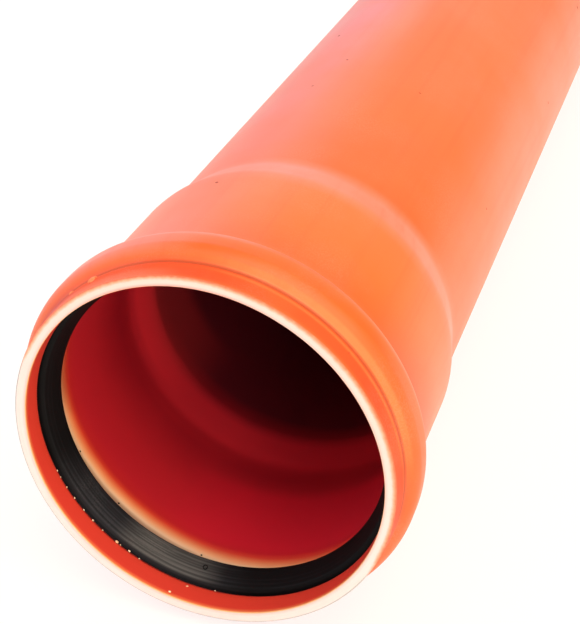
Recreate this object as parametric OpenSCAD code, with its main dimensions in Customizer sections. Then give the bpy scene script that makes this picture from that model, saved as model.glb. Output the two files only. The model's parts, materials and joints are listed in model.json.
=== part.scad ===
// Push-fit sewer pipe: one extruded length with a socket formed on its mouth end,
// and the rubber lip ring that seals the joint. The pipe lies along +Y and the mouth
// faces -Y. The origin is the centre of the mouth's end face.

/* [Pipe] */
// Outside diameter of the pipe, which is its nominal size
pipe_d = 110; // [75:1:250]
// Wall thickness of the plain pipe
pipe_wall = 3.2; // [2.5:0.1:8]
// Length that the pipe adds to a run, from the socket's shoulder to the spigot's end
laying_length = 1000; // [300:50:3000]
// Wall that the bevel leaves at the spigot's end
tip_wall = 1.6; // [1:0.1:2.4]
// Angle of the bevel to the pipe's axis
bevel_angle = 15; // [10:1:20]

/* [Socket] */
// Depth of the socket, from the mouth's end face to the shoulder
socket_depth = 73; // [60:0.5:150]
// Clearance on radius between the socket's barrel and the spigot that goes into it
barrel_clearance = 0.2; // [0.1:0.05:1]
// Wall thickness of the socket's barrel
barrel_wall = 2.8; // [2:0.1:5]
// Length of the slope from the barrel down to the plain pipe
shoulder_len = 13; // [8:0.5:30]
// Radius that blends the shoulder into the barrel and the pipe
shoulder_round = 14; // [2:1:20]

/* [Mouth] */
// Clearance on radius between the mouth's inner wall and the spigot
mouth_clearance = 0.8; // [0.3:0.1:1.5]
// Wall thickness at the mouth's end face
mouth_wall = 3.4; // [2:0.1:5]
// Length of the collar outside, from the end face to the bead
collar_len = 8.2; // [6:0.1:15]
// How much the collar widens over its length, on radius
collar_flare = 0.3; // [0:0.1:1]
// How far before the collar's end the groove starts inside
groove_lead = 0.5; // [0:0.1:2]
// Rounding of the end faces' edges
edge_round = 0.4; // [0:0.1:0.5]

/* [Seal groove] */
// Depth of the groove below the mouth's inner wall
groove_depth = 4.3; // [3.5:0.1:6]
// Width of the groove's floor
groove_floor = 6.6; // [5:0.1:12]
// Slope of the bead's front side
front_angle = 48; // [35:1:60]
// Slope of the groove's and the bead's back side
back_angle = 45; // [35:1:60]
// Wall thickness around the groove
groove_wall = 3; // [2:0.1:8]
// Rounding of the bead outside, at its front edge
bead_front_round = 5; // [0.5:0.5:5]
// Rounding of the bead outside, at its back edge
bead_back_round = 6.5; // [0.5:0.5:6.5]
// Rounding outside where the bead comes down to the barrel
foot_round = 3; // [0.5:0.5:3]
// Rounding inside where the groove's back side runs into the barrel
groove_blend = 6.5; // [0.5:0.5:8]

/* [Seal ring] */
// How far the relaxed lip stands in from the outside of the spigot, on radius
lip_bite = 2.8; // [1:0.1:3]
// Length of the lip's straight edge, which the spigot slides through
lip_edge = 1.6; // [1:0.1:2.5]
// Height of the lip's back face
lip_height = 3.6; // [2:0.1:4.5]
// Room for the lip to fold back, between it and the groove's back side
lip_room = 2.5; // [1.5:0.1:3.5]
// How far the ring's front face stands in from the mouth's inner wall
face_step = 1.2; // [0.6:0.1:1.5]
// Rounding between the ring's front face and its lip
face_round = 2; // [0.2:0.1:2.2]

/* [Hidden] */
$fn = 180; // sides of every turned surface
arc_step = 9; // degrees between two points of a rounded corner
wall_round = 1.5; // rounding of the corners along the socket's walls
lip_round = 0.4; // rounding of the lip's edges
face_seat = 1.2; // where the ring's front face meets the groove, below the mouth's wall
back_seat = 1; // how far the ring follows the groove's back side

// Radii
pipe_ro = pipe_d / 2;
pipe_ri = pipe_ro - pipe_wall;
barrel_ri = pipe_ro + barrel_clearance;
barrel_ro = barrel_ri + barrel_wall;
mouth_ri = pipe_ro + mouth_clearance;
mouth_ro = mouth_ri + mouth_wall;
collar_r = mouth_ro + collar_flare;
groove_r = mouth_ri + groove_depth;
bead_r = groove_r + groove_wall;
lip_r = pipe_ro - lip_bite;
tip_r = pipe_ri + tip_wall;

// Places along the axis, from the mouth's end face
bead_front = collar_len + (bead_r - collar_r) / tan(front_angle);
groove_front = bead_front + groove_wall * tan(front_angle / 2);
mouth_end = collar_len - groove_lead;
groove_back = groove_front + groove_floor;
groove_end = groove_back + (groove_r - barrel_ri) / tan(back_angle);
bead_back = groove_back + groove_wall * tan(back_angle / 2);
bead_end = bead_back + (bead_r - barrel_ro) / tan(back_angle);
shoulder_end = socket_depth + shoulder_len;
pipe_len = socket_depth + laying_length;
bevel_start = pipe_len - (pipe_wall - tip_wall) / tan(bevel_angle);
face_y = mouth_end + (groove_front - mouth_end) * face_seat / groove_depth;
lip_back = groove_back - lip_room;

function unit(v) = v / norm(v);

// The points that round corner b, between its neighbours a and c, to a radius
function corner(a, b, c, radius) =
    radius == 0 ? [b] :
    let (
        to_a = unit(a - b),
        to_c = unit(c - b),
        half = acos(to_a * to_c) / 2,
        centre = b + unit(to_a + to_c) * radius / sin(half),
        first = b + to_a * radius / tan(half) - centre,
        side = to_a[0] * to_c[1] - to_a[1] * to_c[0] > 0 ? -1 : 1,
        turn = side * (180 - 2 * half),
        start = atan2(first[1], first[0]),
        steps = max(2, ceil(abs(turn) / arc_step))
    )
    [for (i = [0:steps]) let (t = start + turn * i / steps)
        centre + radius * [cos(t), sin(t)]];

// A closed outline from corners of [radius from axis, place along axis, rounding]
function rounded(corners) =
    let (n = len(corners), p = [for (c = corners) [c[0], c[1]]])
    [for (i = [0:n - 1])
        each corner(p[(i + n - 1) % n], p[i], p[(i + 1) % n], corners[i][2])];

// Turns an outline around the pipe's axis, which lies along +Y
module turned(outline) {
    rotate([-90, 0, 0])
        rotate_extrude() polygon(outline);
}

module pipe() {
    outside = [
        [mouth_ro, 0, edge_round],
        [collar_r, collar_len, 0],
        [bead_r, bead_front, bead_front_round],
        [bead_r, bead_back, bead_back_round],
        [barrel_ro, bead_end, foot_round],
        [barrel_ro, socket_depth, shoulder_round],
        [pipe_ro, shoulder_end, shoulder_round],
        [pipe_ro, bevel_start, 0],
        [tip_r, pipe_len, edge_round],
    ];
    inside = [
        [pipe_ri, pipe_len, edge_round],
        [pipe_ri, shoulder_end, shoulder_round],
        [barrel_ri, socket_depth, shoulder_round],
        [barrel_ri, groove_end, groove_blend],
        [groove_r, groove_back, wall_round],
        [groove_r, groove_front, wall_round],
        [mouth_ri, mouth_end, wall_round],
        [mouth_ri, 0, edge_round],
    ];
    color([0.93, 0.40, 0.16])
        turned(rounded(concat(outside, inside)));
}

module seal_ring() {
    color([0.06, 0.06, 0.06])
        turned(rounded([
            [groove_r, groove_front, wall_round],
            [groove_r, groove_back, wall_round],
            [groove_r - back_seat, groove_back + back_seat / tan(back_angle), 0],
            [lip_r + lip_height, lip_back, 0],
            [lip_r, lip_back, lip_round],
            [lip_r, lip_back - lip_edge, lip_round],
            [mouth_ri - face_step, face_y, face_round],
            [mouth_ri + face_seat, face_y, 0],
        ]));
}

pipe();
seal_ring();
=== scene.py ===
# %% [markdown]
# # A push-fit sewer pipe
# This notebook dresses one piece of building stock: an orange plastic sewer pipe with a socket
# formed on its mouth end and a black rubber ring inside it. The CAD model gives every size. Here
# the same walls are turned again with smooth curves, and get their plastic, rubber and dirt.

# %% Load the frame
import json
import math
import random

import bmesh
import bpy
from mathutils import Matrix, Vector


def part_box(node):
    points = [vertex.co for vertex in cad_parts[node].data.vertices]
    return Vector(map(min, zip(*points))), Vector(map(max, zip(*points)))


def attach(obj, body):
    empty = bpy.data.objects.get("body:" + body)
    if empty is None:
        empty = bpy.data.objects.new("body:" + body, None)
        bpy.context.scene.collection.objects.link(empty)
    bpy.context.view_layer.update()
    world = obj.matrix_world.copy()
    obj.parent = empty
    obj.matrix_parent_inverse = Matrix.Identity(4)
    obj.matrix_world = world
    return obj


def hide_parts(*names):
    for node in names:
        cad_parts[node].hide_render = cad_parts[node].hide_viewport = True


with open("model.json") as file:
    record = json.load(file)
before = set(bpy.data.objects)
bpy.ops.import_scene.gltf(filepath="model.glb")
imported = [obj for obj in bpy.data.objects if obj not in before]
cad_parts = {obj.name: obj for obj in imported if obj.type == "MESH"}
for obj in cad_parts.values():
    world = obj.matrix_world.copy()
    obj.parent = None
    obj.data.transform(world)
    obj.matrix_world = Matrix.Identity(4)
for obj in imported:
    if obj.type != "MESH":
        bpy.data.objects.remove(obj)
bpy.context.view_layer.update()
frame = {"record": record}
MM = 0.001

# %% [markdown]
# ## Camera
# The view looks down on the mouth from its right, close enough for a strong perspective: the far
# end of the pipe runs out of the frame. The camera stands level, so its place, its heading, its
# tilt and its lens are nearly all there is to set. What is left is the shift, which slides the
# frame down without turning the view, as a view camera's sliding front does.

# %% Camera
VIEW_HEADING = math.radians(18.84)  # from the pipe's axis, towards -X
VIEW_DOWN = math.radians(24.57)
VIEW_FROM = Vector((136.9, -318.9, 257.9)) * MM

camera_data = bpy.data.cameras.new("camera")
camera_data.lens = 84.2
camera_data.shift_y = -0.27
camera_data.clip_start = 0.01
camera_data.clip_end = 30
camera = bpy.data.objects.new("camera", camera_data)
camera.location = VIEW_FROM
camera.rotation_euler = (math.pi / 2 - VIEW_DOWN, 0, VIEW_HEADING)
bpy.context.scene.collection.objects.link(camera)
bpy.context.scene.camera = camera
print("camera stands", round(VIEW_FROM.length, 3), "m from the centre of the mouth")

# %% [markdown]
# ## Sizes
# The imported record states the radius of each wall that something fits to, so those are read and
# not typed again. The other sizes repeat the CAD model's own. Places along the axis are counted
# from the mouth's end face.

# %% Radii from the record
mounts = {m["name"]: m for m in frame["record"]["mounts"]}


def wall_radius(name):
    return mounts[name]["dims"]["r_mm"] * MM


PIPE_R = wall_radius("spigot")
BORE_R = wall_radius("pipe_bore")
MOUTH_R = wall_radius("socket_mouth")
BARREL_R = wall_radius("socket_barrel")
LIP_R = wall_radius("seal_lip")
PIPE_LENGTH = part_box("pipe")[1].y
BEAD_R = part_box("pipe")[1].x
GROOVE_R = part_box("seal_ring")[1].x
print("pipe", PIPE_R / MM, "bore", BORE_R / MM, "mouth", MOUTH_R / MM, "bead", round(BEAD_R / MM, 2))

# %% Places along the axis
MOUTH_WALL = 3.4 * MM
COLLAR_LENGTH = 8.2 * MM
COLLAR_FLARE = 0.3 * MM
GROOVE_LEAD = 0.5 * MM
BARREL_WALL = 2.8 * MM
SOCKET_DEPTH = 73 * MM
SHOULDER_LENGTH = 13 * MM
TIP_WALL = 1.6 * MM
BEVEL_ANGLE = math.radians(15)
FRONT_ANGLE = math.radians(48)
BACK_ANGLE = math.radians(45)
GROOVE_FLOOR = 6.6 * MM

mouth_outer = MOUTH_R + MOUTH_WALL
collar_r = mouth_outer + COLLAR_FLARE
barrel_outer = BARREL_R + BARREL_WALL
groove_wall = BEAD_R - GROOVE_R
bead_front = COLLAR_LENGTH + (BEAD_R - collar_r) / math.tan(FRONT_ANGLE)
groove_front = bead_front + groove_wall * math.tan(FRONT_ANGLE / 2)
mouth_end = COLLAR_LENGTH - GROOVE_LEAD
groove_back = groove_front + GROOVE_FLOOR
groove_end = groove_back + (GROOVE_R - BARREL_R) / math.tan(BACK_ANGLE)
bead_back = groove_back + groove_wall * math.tan(BACK_ANGLE / 2)
bead_end = bead_back + (BEAD_R - barrel_outer) / math.tan(BACK_ANGLE)
shoulder_end = SOCKET_DEPTH + SHOULDER_LENGTH
bevel_start = PIPE_LENGTH - (PIPE_R - BORE_R - TIP_WALL) / math.tan(BEVEL_ANGLE)
print("bead from", round(COLLAR_LENGTH / MM, 2), "to", round(bead_end / MM, 2), "mm")

# %% [markdown]
# ## Turning a wall
# Every large piece here is round about the same axis, so each one starts as the outline of its
# wall in the plane of +X and +Y. It could be lofted from circles, but an outline is easier to read
# and to change: one vertex is extruded from corner to corner, the corners are beveled to their
# radius while there is only a line to bevel, and a spin about the axis makes the solid.

# %% Selecting
SAME_PLACE = 0.001 * MM  # two points nearer than this are one


def deselect_all():
    if bpy.context.object and bpy.context.object.mode != "OBJECT":
        bpy.ops.object.mode_set(mode="OBJECT")
    bpy.ops.object.select_all(action="DESELECT")


def select_at(mesh, *places):
    """In edit mode, selects only the vertices at these places."""
    shape = bmesh.from_edit_mesh(mesh)
    for v in shape.verts:
        v.select = any((v.co - place).length < SAME_PLACE for place in places)
    shape.select_flush_mode()
    bmesh.update_edit_mesh(mesh)


# %% Drawing the outline of a wall
def outlined(name, corners):
    """A closed line in the plane of +X and +Y through (radius, place along the axis) corners."""
    deselect_all()
    bpy.ops.mesh.primitive_plane_add(size=MM)
    piece = bpy.context.object
    piece.name = piece.data.name = name
    bpy.ops.object.mode_set(mode="EDIT")
    bpy.ops.mesh.select_all(action="SELECT")
    bpy.ops.mesh.merge(type="CENTER")
    bpy.ops.transform.translate(value=corners[0])
    for start, end in zip(corners, corners[1:]):
        bpy.ops.mesh.extrude_region_move(TRANSFORM_OT_translate={"value": end - start})
    select_at(piece.data, corners[0], corners[-1])
    bpy.ops.mesh.edge_face_add()
    return piece


# %% Turning it about the axis
SIDES = 288  # steps of every turned surface
ARC_STEP = math.radians(5)  # between two points of a rounded corner
WELD = 0.002 * MM
SMOOTH_UP_TO = math.radians(25)


def turned(name, wall):
    """A solid ring whose wall has corners of (radius, place along the axis, rounding)."""
    corners = [Vector((r, y, 0)) for r, y, _ in wall]
    piece = outlined(name, corners)
    for i, (_, _, rounding) in enumerate(wall):
        if rounding:
            corner, ahead = corners[i], corners[(i + 1) % len(corners)]
            half = (corners[i - 1] - corner).angle(ahead - corner) / 2
            arcs = max(3, round((math.pi - 2 * half) / ARC_STEP))
            select_at(piece.data, corner)
            bpy.ops.mesh.bevel(offset=rounding / math.tan(half), segments=arcs, affect="VERTICES")
    bpy.ops.mesh.select_all(action="SELECT")
    bpy.ops.mesh.spin(steps=SIDES, angle=2 * math.pi, center=(0, 0, 0), axis=(0, 1, 0))
    bpy.ops.mesh.select_all(action="SELECT")
    bpy.ops.mesh.remove_doubles(threshold=WELD)
    bpy.ops.mesh.normals_make_consistent(inside=False)
    bpy.ops.object.mode_set(mode="OBJECT")
    bpy.ops.object.shade_smooth_by_angle(angle=SMOOTH_UP_TO)
    print(name, "has", len(piece.data.vertices), "vertices and", len(piece.data.polygons), "faces")
    return piece


# %% [markdown]
# ## The pipe
# A real pipe like this is extruded, then one end is heated and pushed over a mandrel, which forms
# the socket. So the wall keeps about the same thickness all along, and the outline follows the
# mandrel: collar, bead, barrel, shoulder. Marks of that tool show on the collar: a low ridge, a
# fine crease where the collar meets the bead, and a short foot before the bead rises. They are cut
# into the outline too, because a line this thin still catches light.

# %% Collar marks
RIDGE_AT = 5.7 * MM
RIDGE_HIGH = 0.16 * MM
RIDGE_WIDE = 1.6 * MM
CREASE_WIDE = 0.5 * MM
CREASE_DEEP = 0.08 * MM
FOOT_STEP = 0.1 * MM
FOOT_RISE = 0.4 * MM
FOOT_WIDE = 0.75 * MM


def collar_point(y, out=0.0, rounding=0.0):
    return mouth_outer + COLLAR_FLARE * y / COLLAR_LENGTH + out, y, rounding


collar_marks = [
    collar_point(RIDGE_AT),
    collar_point(RIDGE_AT + RIDGE_WIDE / 2, RIDGE_HIGH, 1.5 * MM),
    collar_point(RIDGE_AT + RIDGE_WIDE),
    collar_point(COLLAR_LENGTH - CREASE_WIDE, 0, 0.15 * MM),
    collar_point(COLLAR_LENGTH - CREASE_WIDE / 2, -CREASE_DEEP),
    collar_point(COLLAR_LENGTH + FOOT_STEP, FOOT_STEP / 2, 0.1 * MM),
    collar_point(COLLAR_LENGTH + FOOT_WIDE, FOOT_RISE, 1.5 * MM),
]
print("the collar's outline has", len(collar_marks), "points for its marks")

# %% Pipe wall
EDGE_ROUND = 0.4 * MM
WALL_ROUND = 1.5 * MM
SHOULDER_ROUND = 14 * MM
GROOVE_BLEND = 6.5 * MM
FOOT_ROUND = 3 * MM
BEAD_FRONT_ROUND = 5 * MM
BEAD_BACK_ROUND = 6.5 * MM

outside = [
    (mouth_outer, 0, EDGE_ROUND),
    *collar_marks,
    (BEAD_R, bead_front, BEAD_FRONT_ROUND),
    (BEAD_R, bead_back, BEAD_BACK_ROUND),
    (barrel_outer, bead_end, FOOT_ROUND),
    (barrel_outer, SOCKET_DEPTH, SHOULDER_ROUND),
    (PIPE_R, shoulder_end, SHOULDER_ROUND),
    (PIPE_R, bevel_start, 0),
    (BORE_R + TIP_WALL, PIPE_LENGTH, EDGE_ROUND),
]
inside = [
    (BORE_R, PIPE_LENGTH, EDGE_ROUND),
    (BORE_R, shoulder_end, SHOULDER_ROUND),
    (BARREL_R, SOCKET_DEPTH, SHOULDER_ROUND),
    (BARREL_R, groove_end, GROOVE_BLEND),
    (GROOVE_R, groove_back, WALL_ROUND),
    (GROOVE_R, groove_front, WALL_ROUND),
    (MOUTH_R, mouth_end, WALL_ROUND),
    (MOUTH_R, 0, EDGE_ROUND),
]
pipe = turned("sewer_pipe", outside + inside)

# %% [markdown]
# ## The rubber ring
# The ring fills the groove, and its lip leans inwards and back. It is moulded in one piece, so it
# is one outline as well. Its front is a round nose that stands a little behind the edge of the
# wall, which leaves a dark line all round between the rubber and the plastic.

# %% Seal ring
LIP_ROOM = 2.5 * MM  # behind the lip, for it to fold back
LIP_EDGE = 1.6 * MM  # the edge that a spigot slides through
LIP_HEIGHT = 3.6 * MM  # of its back face
LIP_ROUND = 0.4 * MM
FACE_SEAT = 1.2 * MM  # where the front face meets the groove, below the mouth's wall
FACE_STEP = 1.2 * MM  # how far it stands in from that wall
FACE_ROUND = 2 * MM
BACK_SEAT = 1 * MM  # how far the ring follows the groove's back side
lip_back = groove_back - LIP_ROOM
face_y = mouth_end + (groove_front - mouth_end) * FACE_SEAT / (GROOVE_R - MOUTH_R)

seal = turned("rubber_seal", [
    (GROOVE_R, groove_front, WALL_ROUND),
    (GROOVE_R, groove_back, WALL_ROUND),
    (GROOVE_R - BACK_SEAT, groove_back + BACK_SEAT / math.tan(BACK_ANGLE), 0),
    (LIP_R + LIP_HEIGHT, lip_back, 0),
    (LIP_R, lip_back, LIP_ROUND),
    (LIP_R, lip_back - LIP_EDGE, LIP_ROUND),
    (MOUTH_R - FACE_STEP, face_y, FACE_ROUND),
    (MOUTH_R + FACE_SEAT, face_y, 0),
])

# %% [markdown]
# ## The mould's vent mark
# Where air leaves the mould, the rubber keeps a tiny raised ring. A cylinder without caps is given
# a wall by Solidify and a softened rim by Bevel. It is shaped at the origin and only then put on
# the cone of the ring, square to it, and its place is applied to its mesh.


# %% Putting a piece on the wall
def turn_to(angle):
    """Turns a piece's own +Z to look outwards at an angle round the axis; 0 is +X and 90 is up."""
    return Matrix.Rotation(math.pi / 2 - math.radians(angle), 4, "Y")


def place_at(angle, radius, along):
    """Moves a piece to an angle round the axis, a distance from it and a distance along it."""
    a = math.radians(angle)
    return Matrix.Translation((radius * math.cos(a), along, radius * math.sin(a)))


def apply_place(piece):
    deselect_all()
    piece.select_set(True)
    bpy.context.view_layer.objects.active = piece
    bpy.ops.object.transform_apply(location=True, rotation=True, scale=True)


# %% Vent mark
VENT_ANGLE = 265.1  # round the axis, just left of the lowest point
VENT_AT = 13.55 * MM  # along the axis
VENT_R = 52.87 * MM  # from the axis
VENT_SIZE = 0.8 * MM
VENT_DEPTH = 0.5 * MM
VENT_WALL = 0.24 * MM
VENT_RIM = 0.05 * MM
VENT_SMOOTH = math.radians(40)

deselect_all()
bpy.ops.mesh.primitive_cylinder_add(
    vertices=32, radius=VENT_SIZE, depth=VENT_DEPTH, end_fill_type="NOTHING")
vent_mark = bpy.context.object
vent_mark.name = vent_mark.data.name = "vent_mark"
wall = vent_mark.modifiers.new("wall", "SOLIDIFY")
wall.thickness = VENT_WALL
rim = vent_mark.modifiers.new("rim", "BEVEL")
rim.width = VENT_RIM
rim.segments = 2
for modifier in ("wall", "rim"):
    bpy.ops.object.modifier_apply(modifier=modifier)
cone_slope = math.atan2(MOUTH_R - FACE_STEP - LIP_R, lip_back - LIP_EDGE - face_y)
lean = Matrix.Rotation(-cone_slope, 4, "X")
vent_mark.matrix_world = place_at(VENT_ANGLE, VENT_R, VENT_AT) @ turn_to(VENT_ANGLE) @ lean
apply_place(vent_mark)
bpy.ops.object.shade_smooth_by_angle(angle=VENT_SMOOTH)
print("vent mark has", len(vent_mark.data.polygons), "faces")

# %% [markdown]
# ## Crumbs
# The saw that trims the mouth leaves crumbs of plastic, which cling where the wall meets the
# rubber. The rubber has a few nibs of flash on its lip, the collar has two small blisters, and
# grit sticks to the outside. All of them are one crumb: an ico sphere whose vertices are moved at
# random and which is then flattened. Particles could scatter it, but so few are simply copied to
# their places and joined. A place is an angle round the axis, a distance from it and a distance
# along it, so each crumb sits on the wall of the mouth, the lip, the collar or the pipe.

# %% One crumb
CRUMB_R = 0.5 * MM
CRUMB_LUMPS = 0.09 * MM
CRUMB_SHAPE = (1.0, 0.75, 0.6)

deselect_all()
bpy.ops.mesh.primitive_ico_sphere_add(subdivisions=2, radius=CRUMB_R)
crumb = bpy.context.object
bpy.ops.object.mode_set(mode="EDIT")
bpy.ops.mesh.select_all(action="SELECT")
bpy.ops.transform.vertex_random(offset=CRUMB_LUMPS, seed=5)
bpy.ops.transform.resize(value=CRUMB_SHAPE)
bpy.ops.object.mode_set(mode="OBJECT")
print("a crumb has", len(crumb.data.polygons), "faces")

# %% Copies of it
draws = random.Random(11)
TURN = 0.6  # a crumb is turned by up to this many radians


def scattered(name, spots, flatness):
    """Crumbs joined in one piece; each spot is (degrees, radius in mm, mm along, size)."""
    deselect_all()
    for angle, radius, along, size in spots:
        copy = crumb.copy()
        copy.data = crumb.data.copy()
        spun = Matrix.Rotation(draws.uniform(-TURN, TURN), 4, "Z")
        sized = Matrix.Diagonal((size, size, size * flatness, 1))
        copy.matrix_world = place_at(angle, radius * MM, along * MM) @ turn_to(angle) @ spun @ sized
        bpy.context.scene.collection.objects.link(copy)
        copy.select_set(True)
        bpy.context.view_layer.objects.active = copy
    bpy.ops.object.join()
    piece = bpy.context.object
    piece.name = piece.data.name = name
    apply_place(piece)
    print(name, "has", len(spots), "crumbs")
    return piece


# %% Crumbs in their places
swarf = scattered("swarf", [
    (204, 55.5, 7.5, 0.6), (206.5, 55.6, 7.5, 0.4), (210.5, 55.5, 7.5, 0.6), (215, 55.5, 7.6, 0.7),
    (220, 55.5, 7.6, 0.6), (224.5, 55.5, 7.6, 0.7), (229, 55.6, 7.6, 0.5), (235, 55.4, 7.7, 1.2),
    (236.5, 55.5, 7.7, 0.5), (240, 55.4, 7.8, 0.9), (244, 55.6, 7.7, 0.55), (258, 55.6, 1.6, 0.9),
    (262, 55.6, 6.3, 0.8), (271, 55.6, 7.7, 0.5),
], flatness=0.8)
nibs = scattered("lip_nibs", [
    (204, 51.9, 16.9, 0.7), (227.5, 51.9, 17.0, 0.8), (262, 51.9, 17.0, 0.7),
], flatness=0.8)
blisters = scattered("blisters", [
    (124.7, 59.45, 6.6, 3.3), (134, 59.5, 7.3, 1.8),
], flatness=0.85)
grit = scattered("grit", [
    (67, 55.02, 168, 1.0), (102, 55.02, 184, 1.1), (119, 55.02, 223, 1.3), (108, 55.02, 158, 1.0),
    (18, 55.02, 149, 0.9), (22, 55.02, 370, 1.6), (10, 55.02, 272, 1.2), (109, 58.02, 66, 1.3),
    (102, 58.5, 24.6, 1.1), (43.5, 59.55, 5.7, 0.6),
], flatness=0.2)
bpy.data.objects.remove(crumb)

# %% [markdown]
# ## Building blocks for the finishes
# Every finish below is a Principled shader whose colour, roughness and bump come from a few
# patterns. A pattern that several finishes use is a node group, built once. All of them read
# Object coordinates, so they stay on the pipe when it moves. A few helpers keep the node code
# short: one adds any node, others do sums, blend colours and grade a colour along a value.


# %% Node helpers
def add(tree, kind, feeds=None, **settings):
    """A new shader node. Feeds maps an input to a value, or to a socket to link."""
    node = tree.nodes.new("ShaderNode" + kind)
    for name, value in settings.items():
        setattr(node, name, value)
    for key, feed in (feeds or {}).items():
        if isinstance(feed, bpy.types.NodeSocket):
            tree.links.new(feed, node.inputs[key])
        else:
            node.inputs[key].default_value = feed
    return node


def calc(tree, operation, *values):
    """The result of a Math node."""
    return add(tree, "Math", dict(enumerate(values)), operation=operation).outputs[0]


def times(tree, *values):
    """The product of all the values."""
    product, *others = values
    for other in others:
        product = calc(tree, "MULTIPLY", product, other)
    return product


def scaled(tree, value, factor, offset):
    """value * factor + offset."""
    return calc(tree, "MULTIPLY_ADD", value, factor, offset)


# %% Helpers that blend and grade
def blend(tree, factor, under, over):
    """The colour under where the factor is 0, and the colour over where it is 1."""
    feeds = {0: factor, 6: under, 7: over}
    return add(tree, "Mix", feeds, data_type="RGBA").outputs[2]


def ramp(tree, value, low, high):
    """0 below low and 1 above high, with a smooth step between them."""
    feeds = {"Value": value, "From Min": low, "From Max": high}
    return add(tree, "MapRange", feeds, interpolation_type="SMOOTHSTEP").outputs[0]


def between(tree, value, start, end, soft):
    """1 between start and end, and 0 outside, with edges that are soft over a length."""
    rise = ramp(tree, value, start - soft / 2, start + soft / 2)
    fall = ramp(tree, value, end + soft / 2, end - soft / 2)
    return times(tree, rise, fall)


def noise(tree, vector, scale, detail=2.0, rough=0.5):
    """A cloudy value about 0.5; scale is how many lumps there are in a metre."""
    feeds = {"Vector": vector, "Scale": scale, "Detail": detail, "Roughness": rough}
    return add(tree, "TexNoise", feeds).outputs["Fac"]


def graded(tree, value, stops):
    """A colour that changes along a value in metres; each stop is (value in mm, colour).

    Cycles reads a ramp in 256 steps, so a grade with fine bands keeps to a short range.
    """
    low, high = stops[0][0], stops[-1][0]
    feeds = {"Value": value, "From Min": low * MM, "From Max": high * MM}
    scale = add(tree, "ValToRGB", {"Fac": add(tree, "MapRange", feeds).outputs[0]})
    points = scale.color_ramp.elements
    points[0].color, points[-1].color = stops[0][1], stops[-1][1]
    for place, color in stops[1:-1]:
        points.new((place - low) / (high - low)).color = color
    return scale.outputs["Color"]


# %% Node group helpers
def new_group(name, inputs, outputs):
    """An empty group, its input sockets and its output sockets."""
    tree = bpy.data.node_groups.new(name, "ShaderNodeTree")
    for socket, value in inputs.items():
        made = tree.interface.new_socket(socket, in_out="INPUT", socket_type="NodeSocketFloat")
        made.default_value = value
    for socket in outputs:
        tree.interface.new_socket(socket, in_out="OUTPUT", socket_type="NodeSocketFloat")
    return tree, tree.nodes.new("NodeGroupInput").outputs, tree.nodes.new("NodeGroupOutput").inputs


def give_out(tree, out, **values):
    """Links what a group makes to its output sockets, and says how large the group is."""
    for name, value in values.items():
        tree.links.new(value, out[name])
    print("group", tree.name, "has", len(tree.nodes), "nodes")


def use(tree, group, **values):
    """Places a group in a material; an input's name is given with _ for each space."""
    feeds = {name.replace("_", " ").capitalize(): value for name, value in values.items()}
    return add(tree, "Group", feeds, node_tree=group).outputs


# %% [markdown]
# ### Where on the pipe
# Much of the finish depends on how far along the pipe a point is, how far from the axis, and on
# which side. This group gives all three. The side comes as two numbers, how far towards +X and how
# far up, because an angle would jump where it starts again.

# %% Group: place on the pipe
place_group, _, out = new_group("place_on_pipe", {}, ("Along", "Radius", "Sideways", "Upwards"))
here = add(place_group, "TexCoord").outputs["Object"]
x, y, z = add(place_group, "SeparateXYZ", {0: here}).outputs
squares = calc(place_group, "ADD", times(place_group, x, x), times(place_group, z, z))
radius = calc(place_group, "SQRT", squares)
give_out(
    place_group, out, Along=y, Radius=radius, Sideways=calc(place_group, "DIVIDE", x, radius),
    Upwards=calc(place_group, "DIVIDE", z, radius))

# %% [markdown]
# ### A patch on one side
# Strain, wear and dirt lie on one side of a pipe, and often along a short stretch of it only. This
# group marks such a patch. Its Facing is 1 at the chosen angle, where 0 degrees is +X and 90 is
# up, 0 a quarter turn away and -1 on the opposite side. Its Mask fades in between two values of
# that, and keeps to a stretch of the pipe whose ends are soft. A painted mask could do the same,
# but a few numbers are easier to move, and need no unwrapping.

# %% Group: patch on one side
WHOLE_PIPE = {"Start": -1.0, "End": 3.0, "Soft": 1 * MM}

patch_group, give, out = new_group(
    "side_patch", {"Angle": 0.0, "Fades from": 0.0, "Full at": 1.0, "Amount": 1.0, **WHOLE_PIPE},
    ("Facing", "Mask"))
spot = use(patch_group, place_group)
angle = calc(patch_group, "RADIANS", give["Angle"])
sideways = times(patch_group, spot["Sideways"], calc(patch_group, "COSINE", angle))
upwards = times(patch_group, spot["Upwards"], calc(patch_group, "SINE", angle))
facing = calc(patch_group, "ADD", sideways, upwards)
side = ramp(patch_group, facing, give["Fades from"], give["Full at"])
half = times(patch_group, give["Soft"], 0.5)
before_start = calc(patch_group, "SUBTRACT", give["Start"], half)
after_start = calc(patch_group, "ADD", give["Start"], half)
before_end = calc(patch_group, "SUBTRACT", give["End"], half)
after_end = calc(patch_group, "ADD", give["End"], half)
started = ramp(patch_group, spot["Along"], before_start, after_start)
not_ended = ramp(patch_group, spot["Along"], after_end, before_end)
mask = times(patch_group, side, started, not_ended, give["Amount"])
give_out(patch_group, out, Facing=facing, Mask=mask)


def patch(tree, angle, fades_from, full_at, **others):
    """The mask of a patch; others may be start, end and soft in metres, and amount."""
    values = {"angle": angle, "fades_from": fades_from, "full_at": full_at, **others}
    return use(tree, patch_group, **values)["Mask"]


# %% [markdown]
# ### Extruded plastic
# A pipe that is drawn through a die keeps faint lines along its length. They are the same noise as
# any mottle, but its coordinates are squeezed along the pipe, so each blot becomes a long streak.
# The mottle itself completes the group, with a relief in which a fine grain joins the lines.

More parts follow.
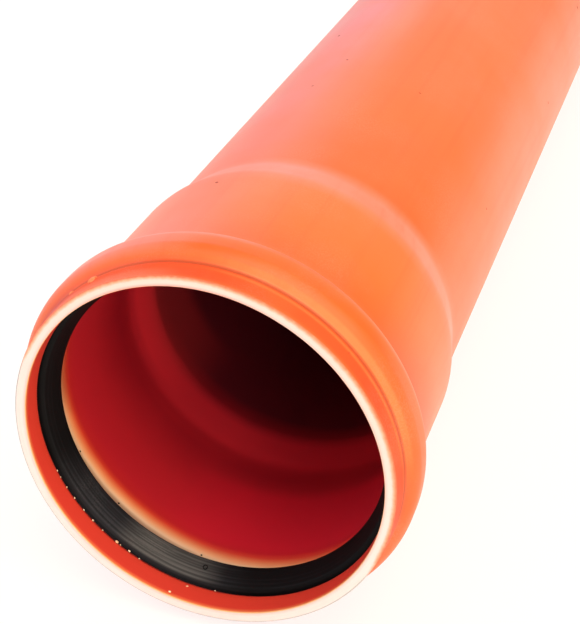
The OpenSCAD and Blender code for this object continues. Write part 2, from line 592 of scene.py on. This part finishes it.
# %% Group: drawn plastic
drawn_group, give, out = new_group(
    "drawn_plastic", {"Line scale": 260.0}, ("Lines", "Mottle", "Relief"))
here = add(drawn_group, "TexCoord").outputs["Object"]
squeezed = add(drawn_group, "Mapping", {"Vector": here, "Scale": (1, 0.02, 1)}).outputs[0]
lines = noise(drawn_group, squeezed, give["Line scale"], 3.0, 0.6)
mottle = noise(drawn_group, here, 22.0, 3.0, 0.55)
grain = noise(drawn_group, here, 900.0)
relief = scaled(drawn_group, lines, 0.6, times(drawn_group, grain, 0.4))
give_out(drawn_group, out, Lines=lines, Mottle=mottle, Relief=relief)

# %% [markdown]
# ### Marks that run round
# The saw that cuts the ends, and the mould of the rubber ring, leave marks that run round the
# pipe. They depend on the radius and the place along the axis, and hardly on the angle. A second
# noise shifts them a little from place to place, so that no mark runs all the way round.

# %% Group: marks round the axis
BREAK_SHIFT = 1.2 * MM

round_group, give, out = new_group("marks_round", {"Fineness": 2500.0, "Breaks": 40.0}, ("Marks",))
here = add(round_group, "TexCoord").outputs["Object"]
spot = use(round_group, place_group)
rings = add(round_group, "CombineXYZ", {0: spot["Radius"], 1: spot["Along"]}).outputs[0]
breaks = noise(round_group, here, give["Breaks"], 1.0)
aside = add(round_group, "CombineXYZ", {2: times(round_group, breaks, BREAK_SHIFT)}).outputs[0]
shifted = add(round_group, "VectorMath", {0: rings, 1: aside}, operation="ADD").outputs[0]
marks = noise(round_group, shifted, give["Fineness"], rough=0.6)
give_out(round_group, out, Marks=marks)

# %% [markdown]
# ### Dust
# Dust is a broken film: a coarse noise decides where it lies and a fine noise breaks it up.

# %% Group: dust
dust_group, give, out = new_group("dust_film", {"Amount": 0.5, "Patch scale": 30.0}, ("Dust",))
here = add(dust_group, "TexCoord").outputs["Object"]
patches = noise(dust_group, here, give["Patch scale"], 3.0, 0.6)
powder = noise(dust_group, here, 1800.0, rough=0.7)
settled = ramp(dust_group, patches, 0.38, 0.72)
broken = ramp(dust_group, powder, 0.35, 0.75)
give_out(dust_group, out, Dust=times(dust_group, settled, broken, give["Amount"]))

# %% [markdown]
# ### A new material
# Each material starts with the Principled shader that Blender gives it. A number or colour that
# doesn't change over the surface goes straight on the shader's own socket, where an export can
# read it. What changes is linked.


# %% Starting a material
def new_material(name, **constants):
    """A Principled material, its node tree and its shader; constants go on the shader's sockets."""
    material = bpy.data.materials.new(name)
    material.use_nodes = True
    tree = material.node_tree
    shader = tree.nodes["Principled BSDF"]
    for socket, value in constants.items():
        shader.inputs[socket.replace("_", " ")].default_value = value
    return material, tree, shader


def bump(tree, shader, height, depth):
    """Bump from a height in 0 to 1; depth is how deep 1 is, in metres."""
    node = add(tree, "Bump", {"Height": height, "Distance": depth, "Strength": 1.0})
    tree.links.new(node.outputs[0], shader.inputs["Normal"])


# %% [markdown]
# ### Outer skin
# Colours are linear, as a Principled shader wants them. The skin is one orange, graded along the
# socket: deeper on the collar, with painted highlights that make the collar's ridge, the foot of the
# bead and the bead's back paler, and a pink over the shoulder, where the wall was strained most as it
# went over the mandrel, which is partly strain whitening and partly painted highlight.
# The left side is painted paler and pinker, as cool light from the left makes it. The low side is
# painted darker and redder near the mouth and under the bead, where its shade falls, and paler
# further along. Each side has a grade of its own, which is blended in there. A thin sheen gives the
# faint bloom that the skin has where it is seen edge-on. A vertex colour could carry all of this, but
# it would be as coarse as the mesh.

# %% Outer skin colours
COLLAR = (0.86, 0.062, 0.001, 1)
STRAIN_AND_HIGHLIGHT = (0.93, 0.245, 0.165, 1)
LOW_SHADE_RED = (0.65, 0.004, 0.0, 1)
# Painted highlights: the paler stops on the ridge, at the foot and on the back of the bead. The
# shoulder's pink is part strain whitening, part painted highlight.
OUTER_GRADE = (
    (0, (0.93, 0.135, 0.02, 1)), (1.4, COLLAR), (5.3, COLLAR),
    (6.5, (0.88, 0.072, 0.002, 1)), (7.6, COLLAR), (8.5, (0.9, 0.1, 0.006, 1)),
    (9.8, (0.92, 0.13, 0.012, 1)), (11.2, (0.9, 0.105, 0.004, 1)), (16, (0.9, 0.115, 0.006, 1)),
    (19, (0.92, 0.15, 0.035, 1)), (26, (0.92, 0.15, 0.033, 1)), (30, (0.9, 0.117, 0.009, 1)),
    (45, (0.9, 0.145, 0.017, 1)), (60, (0.92, 0.165, 0.032, 1)), (67, (0.92, 0.168, 0.038, 1)),
    (74.5, STRAIN_AND_HIGHLIGHT), (83, STRAIN_AND_HIGHLIGHT), (91, (0.9, 0.115, 0.012, 1)),
    (150, (0.91, 0.14, 0.025, 1)), (250, (0.92, 0.155, 0.04, 1)),
)
# Painted light: the left side's paler, pinker grade.
LEFT_LIGHT_GRADE = (
    (0, (0.93, 0.22, 0.13, 1)), (3, (0.93, 0.16, 0.07, 1)), (5, COLLAR), (8.5, COLLAR),
    (9.8, (0.92, 0.12, 0.015, 1)), (12, (0.93, 0.25, 0.17, 1)), (25, (0.93, 0.25, 0.15, 1)),
    (35, (0.93, 0.2, 0.105, 1)), (60, (0.93, 0.185, 0.085, 1)), (100, (0.9, 0.16, 0.09, 1)),
    (140, (0.87, 0.15, 0.1, 1)), (250, (0.84, 0.14, 0.15, 1)),
)
# Painted shade: the low side's darker, redder grade near the mouth and under the bead, paler further
# along.
LOW_SHADING_GRADE = (
    (0, LOW_SHADE_RED), (7, LOW_SHADE_RED), (10, (0.8, 0.08, 0.0, 1)),
    (17, (0.88, 0.13, 0.02, 1)), (24, (0.7, 0.03, 0.0, 1)), (30, (0.7, 0.02, 0.0, 1)),
    (52, (0.93, 0.2, 0.1, 1)), (250, (0.93, 0.22, 0.12, 1)),
)

# %% Outer skin: grades
outer_skin, tree, shader = new_material(
    "orange_skin", Sheen_Weight=0.13, Sheen_Roughness=0.27, Sheen_Tint=(1, 0.88, 0.9, 1))
along = use(tree, place_group)["Along"]
color = graded(tree, along, OUTER_GRADE)
# Painted shade on the low side and painted cool light on the left side are blended in.
low_shading = patch(tree, 345, 0.5, 1.05, amount=0.5)
color = blend(tree, low_shading, color, graded(tree, along, LOW_SHADING_GRADE))
left_light = patch(tree, 122, 0.86, 1.0, amount=0.6)
color = blend(tree, left_light, color, graded(tree, along, LEFT_LIGHT_GRADE))

# %% [markdown]
# The collar's far left is a dull red, and on its upper right the ridge and the foot of the bead are
# painted paler, as a highlight. A mottle, faint draw lines and a film of dust break up the rest. The
# crease is painted dark, as shade, most of all on the upper right, and the underside of the collar's
# edge is as pale as with dust.

# %% Outer skin: dull left and painted highlights
DULL_RED = (0.6, 0.035, 0.03, 1)
HIGHLIGHT_ORANGE = (0.95, 0.195, 0.04, 1)

dulled = patch(
    tree, 152, 0.93, 1.0, amount=0.6, start=-1 * MM, end=COLLAR_LENGTH + 1.3 * MM, soft=1.5 * MM)
color = blend(tree, dulled, color, DULL_RED)
# Painted highlight: the ridge and the foot of the bead are paler on their upper right.
ridge = patch(
    tree, 45, 0.66, 0.9, amount=0.5, start=RIDGE_AT + 0.2 * MM,
    end=RIDGE_AT + RIDGE_WIDE - 0.2 * MM, soft=0.8 * MM)
color = blend(tree, ridge, color, HIGHLIGHT_ORANGE)
foot = patch(
    tree, 45, 0.66, 0.9, amount=0.8, start=COLLAR_LENGTH + 0.4 * MM,
    end=COLLAR_LENGTH + 2 * MM, soft=0.8 * MM)
color = blend(tree, foot, color, HIGHLIGHT_ORANGE)

# %% Outer skin: mottle, lines, dust and painted crease shade
ORANGE_LIGHT = (0.92, 0.15, 0.022, 1)
ORANGE_DEEP = (0.84, 0.092, 0.008, 1)
CREASE_SHADE = (0.42, 0.055, 0.006, 1)
DUST = (0.75, 0.6, 0.52, 1)

drawn = use(tree, drawn_group)
dust = use(tree, dust_group, amount=0.1, patch_scale=34.0)["Dust"]
mottled = times(tree, ramp(tree, drawn["Mottle"], 0.35, 0.7), 0.4)
color = blend(tree, mottled, color, ORANGE_LIGHT)
lined = times(tree, ramp(tree, drawn["Lines"], 0.45, 0.8), 0.3)
color = blend(tree, lined, color, ORANGE_DEEP)
# Painted shade in the crease, darkest on the upper right.
crease = between(tree, along, COLLAR_LENGTH - 0.8 * MM, COLLAR_LENGTH + 0.4 * MM, 0.6 * MM)
crease_shading = calc(tree, "ADD", patch(tree, 45, 0.0, 0.8, amount=0.4), 0.35)
color = blend(tree, times(tree, crease, crease_shading), color, CREASE_SHADE)
caked = patch(tree, 297, 0.8, 0.97, amount=0.7, end=5.5 * MM, soft=3 * MM)
color = blend(tree, calc(tree, "MAXIMUM", dust, caked), color, DUST)
tree.links.new(color, shader.inputs["Base Color"])

# %% Outer skin: roughness and relief
SKIN_RELIEF = 0.03 * MM

rough = scaled(tree, drawn["Mottle"], 0.14, 0.35)
on_collar = between(tree, along, 0.5 * MM, COLLAR_LENGTH, 0.5 * MM)
rough = scaled(tree, on_collar, 0.35, rough)
tree.links.new(scaled(tree, dust, 0.5, rough), shader.inputs["Roughness"])
bump(tree, shader, drawn["Relief"], SKIN_RELIEF)
print("outer skin has", len(tree.nodes), "nodes")

# %% [markdown]
# ### Inner skin
# The same plastic, but crimson. It is graded along the wall as well, much of it with painted light
# and shade: golden where the mouth's edge was trimmed, painted shade where the wall meets the rubber,
# a pale strip behind the rubber lip that is a painted highlight, a darker stretch of barrel that is
# painted shade, a lighter shoulder that is a painted highlight, and a dark bore just behind it, which
# is painted shade and turns crimson again further in. The pale strip is not quite the same width all
# round, so the place along the wall is shifted a little on one side, and by a noise, before the
# colour is looked up.

# %% Inner skin colours
CRIMSON = (0.61, 0.0155, 0.028, 1)
MOUTH_RED = (0.77, 0.05, 0.028, 1)
SEAL_SHADE = (0.28, 0.02, 0.014, 1)
BORE_SHADE = (0.115, 0.006, 0.015, 1)
# Painted light and shade along the wall: shade where it meets the rubber, a highlight on the pale
# strip and on the shoulder, shade on the barrel before the shoulder and in the bore.
INNER_GRADE = (
    (0, (0.97, 0.42, 0.2, 1)), (0.7, (0.93, 0.2, 0.07, 1)), (1.7, MOUTH_RED), (5.2, MOUTH_RED),
    (7.3, (0.75, 0.05, 0.026, 1)), (8.1, SEAL_SHADE), (10, SEAL_SHADE),
    (20, (0.3, 0.12, 0.08, 1)), (22.6, (0.5, 0.25, 0.15, 1)), (23.4, (1, 0.6, 0.35, 1)),
    (23.9, (1, 0.5, 0.26, 1)), (24.3, (0.96, 0.38, 0.15, 1)), (25.3, (0.86, 0.2, 0.065, 1)),
    (26.6, (0.75, 0.055, 0.024, 1)), (28.5, (0.63, 0.019, 0.023, 1)), (33, CRIMSON),
    (46, CRIMSON), (60, (0.47, 0.01, 0.022, 1)), (66, (0.41, 0.008, 0.02, 1)),
    (70, (0.46, 0.01, 0.022, 1)), (74, (0.6, 0.017, 0.032, 1)), (83, (0.58, 0.016, 0.032, 1)),
    (88, (0.27, 0.008, 0.018, 1)), (95, BORE_SHADE),
)

# %% Inner skin: grade
inner_skin, tree, shader = new_material("inner_skin")
along = use(tree, place_group)["Along"]
drawn = use(tree, drawn_group, line_scale=340.0)
low_left = use(tree, patch_group, angle=220)["Facing"]
shift = scaled(tree, drawn["Mottle"], 1.6 * MM, scaled(tree, low_left, -1.5 * MM, 1.05 * MM))
past_seal = ramp(tree, along, 9 * MM, 11 * MM)
shifted = scaled(tree, past_seal, shift, along)
color = graded(tree, shifted, INNER_GRADE)

# %% [markdown]
# The low side of the barrel is painted a brighter, purer red, as light, and the left of the shoulder
# and of the bore's first stretch is painted paler, as light that reaches in there. Just behind the
# lip the wall is painted darker on the left, as the lip's shadow. A mottle breaks up the barrel.

# %% Inner skin: patches
CRIMSON_LIGHT = (0.68, 0.019, 0.032, 1)
LIT_LOW_RED = (0.75, 0.013, 0.035, 1)
SHOULDER_LIT = (0.82, 0.028, 0.045, 1)
LIP_SHADOW = (0.2, 0.01, 0.012, 1)
BORE_LIT = (0.5, 0.03, 0.035, 1)

mottled = times(tree, ramp(tree, drawn["Mottle"], 0.3, 0.7), 0.35)
in_barrel = between(tree, along, 28 * MM, 70 * MM, 4 * MM)
color = blend(tree, times(tree, mottled, in_barrel), color, CRIMSON_LIGHT)
# Painted light on the barrel's low side, the shoulder and the bore, and the lip's painted shadow.
for over, angle, fades_from, full_at, amount, start, end, soft in (
    (LIT_LOW_RED, 288, 0.6, 0.97, 0.8, 27, 58, 8),
    (SHOULDER_LIT, 165, 0.4, 0.95, 0.8, 76, 87.5, 3.5),
    (LIP_SHADOW, 167, 0.86, 1.0, 0.55, 20, 26, 4),
    (BORE_LIT, 190, 0.7, 1.0, 0.5, 84, 112, 10),
):
    mask = patch(
        tree, angle, fades_from, full_at, amount=amount,
        start=start * MM, end=end * MM, soft=soft * MM)
    color = blend(tree, mask, color, over)
color = blend(tree, ramp(tree, along, 180 * MM, 420 * MM), color, CRIMSON)
tree.links.new(color, shader.inputs["Base Color"])
tree.links.new(scaled(tree, drawn["Mottle"], 0.14, 0.38), shader.inputs["Roughness"])
bump(tree, shader, drawn["Relief"], SKIN_RELIEF)
print("inner skin has", len(tree.nodes), "nodes")

# %% [markdown]
# ### Cut ends
# The wall is drawn as three layers at once: a pale core between two orange skins. Only the cut ends
# show them. So the colour of a cut depends on how far a point is from the axis, and the same function
# makes the finish of both ends, each with its own two radii. The core is blushed with red next to the
# inner skin, most of all at the top, and the saw left the outer skin's edge a little ragged. On the
# low side the outer skin doesn't show on the cut, as if the pipe had been dragged on its rim, and
# only a thin grey line of painted shade follows its edge, where the rim rounds away.

# %% Cut ends: the core
CORE = (0.86, 0.69, 0.66, 1)
CORE_STAINED = (0.84, 0.58, 0.49, 1)


def cut_core(tree, marks):
    """The pale core, stained along the saw's marks and by dust, and darker and pinker on its upper
    side.
    """
    dust = use(tree, dust_group, amount=0.3, patch_scale=90.0)["Dust"]
    in_marks = times(tree, ramp(tree, marks, 0.4, 0.8), 0.3)
    core = blend(tree, in_marks, CORE, CORE_STAINED)
    core = blend(tree, dust, core, CORE_STAINED)
    return blend(tree, patch(tree, 75, -0.3, 0.8, amount=0.6), core, CORE_STAINED)


# %% Cut ends: the skins
BLUSH = (0.9, 0.4, 0.35, 1)
PALE_ORANGE = (0.95, 0.42, 0.26, 1)
SKIN = (0.92, 0.14, 0.05, 1)
GOLDEN = (0.96, 0.48, 0.2, 1)
EDGE_SHADE_GREY = (0.34, 0.3, 0.28, 1)
RAGGED = 0.7 * MM


def cut_wall(name, inner_r, outer_r, worn_angle, wear):
    """The finish of a cut wall; wear is how far the outer skin is worn back, at an angle."""
    material, tree, shader = new_material(name)
    radius = use(tree, place_group)["Radius"]
    marks = use(tree, round_group, fineness=3000.0)["Marks"]
    blushed = ramp(tree, radius, inner_r + 1.3 * MM, inner_r + 0.2 * MM)
    upper = patch(tree, 98, 0.8, 0.97, amount=0.5)
    blushed = times(tree, blushed, calc(tree, "ADD", upper, 0.5))
    color = blend(tree, blushed, cut_core(tree, marks), BLUSH)
    here = add(tree, "TexCoord").outputs["Object"]
    ragged = scaled(tree, noise(tree, here, 600.0), RAGGED, -RAGGED / 2)
    worn = patch(tree, worn_angle, -0.08, 0.2)
    outer = calc(tree, "ADD", scaled(tree, worn, -wear, radius), ragged)
    pale = ramp(tree, outer, outer_r - 1.5 * MM, outer_r - 0.65 * MM)
    color = blend(tree, pale, color, PALE_ORANGE)
    skin = ramp(tree, outer, outer_r - 0.9 * MM, outer_r + 0.1 * MM)
    color = blend(tree, skin, color, SKIN)
    # Painted shade: a thin grey line along the outer edge on the worn side.
    edge = between(tree, radius, outer_r - 0.4 * MM, outer_r + 0.2 * MM, 0.2 * MM)
    color = blend(tree, times(tree, edge, worn, 0.75), color, EDGE_SHADE_GREY)
    trimmed = ramp(tree, radius, inner_r + 0.35 * MM, inner_r)
    color = blend(tree, trimmed, color, GOLDEN)
    tree.links.new(color, shader.inputs["Base Color"])
    tree.links.new(scaled(tree, marks, 0.2, 0.45), shader.inputs["Roughness"])
    bump(tree, shader, marks, 0.05 * MM)
    print(name, "has", len(tree.nodes), "nodes")
    return material


cut_rim = cut_wall("cut_rim", MOUTH_R, mouth_outer, worn_angle=246, wear=1.5 * MM)
cut_bevel = cut_wall("cut_bevel", BORE_R, PIPE_R, worn_angle=270, wear=0.4 * MM)

# %% [markdown]
# The four finishes go on by place: the rim is all that lies within the rounding of the mouth's
# edge, the bevel is what looks towards the far end there, and a face that looks towards the axis
# is inside.

# %% Finishes on the pipe
OUTSIDE, INSIDE, RIM, BEVEL = range(4)
for finish in (outer_skin, inner_skin, cut_rim, cut_bevel):
    pipe.data.materials.append(finish)
counts = [0, 0, 0, 0]
for face in pipe.data.polygons:
    outwards = Vector((face.center.x, 0, face.center.z)).normalized()
    if face.center.y < EDGE_ROUND:
        face.material_index = RIM
    elif face.center.y > bevel_start and face.normal.y > 0.1:
        face.material_index = BEVEL
    elif face.normal.dot(outwards) < 0:
        face.material_index = INSIDE
    counts[face.material_index] += 1
print("faces outside, inside, rim, bevel:", counts)

# %% [markdown]
# ### Rubber
# Black rubber is a very dark satin, and its own gloss is weak. The mould leaves marks that run round
# it. On the low side a pale grey is part talc and part painted highlight of the light in the ring's
# cone: a wide thin film, and in it a narrow streaky patch, which stops short of the ring's front
# edge. The vent mark stands proud and was wiped clean, so it gets the same finish without the talc
# and painted highlight.

# %% Rubber
RUBBER = (0.005, 0.0045, 0.0048, 1)
TALC_AND_HIGHLIGHT = (0.165, 0.155, 0.145, 1)
THIN_TALC_AND_HIGHLIGHT = (0.046, 0.045, 0.054, 1)


def rubber_finish(name, film):
    """Black rubber with a film of talc and painted highlight from 0, none, to 1."""
    material, tree, shader = new_material(name, Specular_IOR_Level=0.06)
    along = use(tree, place_group)["Along"]
    marks = use(tree, round_group, fineness=1500.0, breaks=60.0)["Marks"]
    dust = use(tree, dust_group, amount=1.0, patch_scale=60.0)["Dust"]
    in_marks = times(tree, ramp(tree, marks, 0.45, 0.75), 0.09)
    color = blend(tree, in_marks, RUBBER, THIN_TALC_AND_HIGHLIGHT)
    streaks = scaled(tree, ramp(tree, marks, 0.35, 0.7), 0.6, 0.4)
    # Painted highlight mixed with talc on the low side.
    wide = times(tree, patch(tree, 240, 0.72, 1.0), streaks)
    color = blend(tree, times(tree, wide, 0.65 * film), color, THIN_TALC_AND_HIGHLIGHT)
    off_edge = ramp(tree, along, 9.1 * MM, 10 * MM)
    narrow = times(tree, patch(tree, 252, 0.93, 1.0), streaks, off_edge)
    color = blend(tree, times(tree, narrow, 0.62 * film), color, TALC_AND_HIGHLIGHT)
    dusty = times(tree, dust, wide, off_edge, 0.3 * film)
    color = blend(tree, dusty, color, TALC_AND_HIGHLIGHT)
    tree.links.new(color, shader.inputs["Base Color"])
    tree.links.new(scaled(tree, marks, 0.16, 0.46), shader.inputs["Roughness"])
    bump(tree, shader, marks, 0.06 * MM)
    print(name, "has", len(tree.nodes), "nodes")
    return material


rubber = rubber_finish("black_rubber", 1.0)
seal.data.materials.append(rubber)
bare_rubber = rubber_finish("bare_rubber", 0.0)
vent_mark.data.materials.append(bare_rubber)
nibs.data.materials.append(bare_rubber)

# %% [markdown]
# ### Crumbs and grit
# Crumbs of the core are cream with orange sides, blisters are the skin's own orange a shade paler,
# and grit is a dark brown. One function makes all three, because only their two colours differ.


# %% Crumbs and grit
def crumb_finish(name, color, fleck_color):
    material, tree, shader = new_material(name, Roughness=0.6)
    here = add(tree, "TexCoord").outputs["Object"]
    fleck = noise(tree, here, 1200.0)
    flecked = blend(tree, ramp(tree, fleck, 0.45, 0.65), color, fleck_color)
    tree.links.new(flecked, shader.inputs["Base Color"])
    bump(tree, shader, fleck, 0.08 * MM)
    return material


for piece, name, color, fleck_color in (
    (swarf, "swarf_cream", (0.95, 0.72, 0.5, 1), (0.95, 0.5, 0.25, 1)),
    (blisters, "blister_orange", (0.93, 0.24, 0.08, 1), (0.9, 0.16, 0.05, 1)),
    (grit, "grit_brown", (0.5, 0.06, 0.012, 1), (0.25, 0.03, 0.01, 1)),
):
    piece.data.materials.append(crumb_finish(name, color, fleck_color))
print(len(bpy.data.materials), "materials so far")

# %% [markdown]
# ## Floor and light
# The floor is a sheet of white paper, in line with the pipe, which leans a little because it rests
# on its bead and on its far end. Seen directly the paper glows almost white, which hides most of
# the shadow, but to the pipe it is only a dim reflector. A Light Path node tells the two apart.

# %% Floor
FLOOR_R = 9
PAPER_SEEN = (0.85, 0.85, 0.85, 1)
PAPER_UNSEEN = (0.24, 0.22, 0.18, 1)
GLOW_SEEN = 0.8
GLOW_UNSEEN = 0.12

deselect_all()
bpy.ops.mesh.primitive_circle_add(vertices=96, radius=FLOOR_R, fill_type="NGON")
floor = bpy.context.object
floor.name = "floor"
bead_middle = (bead_front + bead_back) / 2
lean = math.atan((BEAD_R - PIPE_R) / (bevel_start - bead_middle))
floor.rotation_euler = (lean, 0, 0)
floor.location = (0, bead_middle, -BEAD_R)
apply_place(floor)
print("the pipe leans by", round(math.degrees(lean), 2), "degrees")

# %% Paper
paper, tree, shader = new_material("floor_paper", Roughness=0.8)
seen = add(tree, "LightPath").outputs["Is Camera Ray"]
shader.inputs["Emission Color"].default_value = (1, 1, 1, 1)
tree.links.new(blend(tree, seen, PAPER_SEEN, PAPER_UNSEEN), shader.inputs["Base Color"])
glow = scaled(tree, seen, GLOW_SEEN - GLOW_UNSEEN, GLOW_UNSEEN)
tree.links.new(glow, shader.inputs["Emission Strength"])
floor.data.materials.append(paper)

# %% [markdown]
# Softboxes stand all round, as in a studio with white paper. The warm key stands high on the right of
# the mouth, with a lower one beside it, and a small lamp reaches down the bore. More warm light
# comes from the right and from behind, a paler one from the front and the top fills the rest, and
# cool lights low on the left turn that side pink.

# %% Softboxes
AIM = Vector((0, 0.1, 0))
LIGHT_AWAY = 2.4
WARM = (1.0, 0.95, 0.74)
SANDY = (1.0, 0.93, 0.76)
CREAM = (1.0, 0.94, 0.78)
NEUTRAL = (1.0, 1.0, 1.0)
DAYLIGHT = (0.95, 0.97, 1.0)
COOL = (0.83, 0.87, 1.0)
BLUE = (0.72, 0.72, 1.0)


def softbox(name, azimuth, elevation, strength, color, size=2.6):
    """A square light; azimuth 0 is before the mouth, 90 is +X. Strength is W/m2 at the pipe."""
    a, e = math.radians(azimuth), math.radians(elevation)
    towards = Vector((math.sin(a) * math.cos(e), -math.cos(a) * math.cos(e), math.sin(e)))
    data = bpy.data.lights.new(name, "AREA")
    data.size = size
    data.color = color
    data.energy = strength * math.pi * LIGHT_AWAY**2
    light = bpy.data.objects.new(name, data)
    light.location = AIM + towards * LIGHT_AWAY
    light.rotation_euler = towards.to_track_quat("Z", "Y").to_euler()
    bpy.context.scene.collection.objects.link(light)
    print(name, "gives", round(data.energy, 1), "W")


softbox("key_high", 62, 60, 1.95, WARM)
softbox("key_low", 45, 30, 1.1, WARM)
softbox("bore_lamp", 30, 9, 0.65, WARM, size=0.6)
softbox("right", 95, 22, 1.0, SANDY)
softbox("front", 348, 56, 1.0, DAYLIGHT)
softbox("top", 0, 88, 0.65, NEUTRAL)
softbox("back_left", 220, 5, 1.15, BLUE)
softbox("left", 285, 18, 1.45, COOL)
softbox("back", 182, 34, 0.7, CREAM)

# %% [markdown]
# The world is a dim even sky, so that the softboxes do the modelling. Where it is seen directly it
# is as bright as the far floor. The Standard view keeps the oranges as saturated as they are made.

# %% World
SKY = 0.16
HORIZON = 0.86

world = bpy.data.worlds.new("studio")
world.use_nodes = True
tree = world.node_tree
background = tree.nodes["Background"]
background.inputs["Color"].default_value = (1, 1, 1, 1)
seen = add(tree, "LightPath").outputs["Is Camera Ray"]
tree.links.new(scaled(tree, seen, HORIZON - SKY, SKY), background.inputs["Strength"])
bpy.context.scene.world = world
bpy.context.scene.view_settings.view_transform = "Standard"
print("world has", len(tree.nodes), "nodes")

# %% [markdown]
# ## Handing over
# Every piece is put on the body that it rides on, and the record's material that it belongs to is
# printed beside it. The turned pipe and ring stand for the CAD's own, which are the same shapes in
# coarser facets.

# %% Bodies
for piece, slot in (
    (pipe, "orange_pvc"), (seal, "black_rubber"), (vent_mark, "black_rubber"), (swarf, "orange_pvc"),
    (nibs, "black_rubber"), (blisters, "orange_pvc"), (grit, "black_rubber"),
):
    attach(piece, "root")
    print(piece.name, "rides on root as", slot)
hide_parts("pipe")
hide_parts("seal_ring")
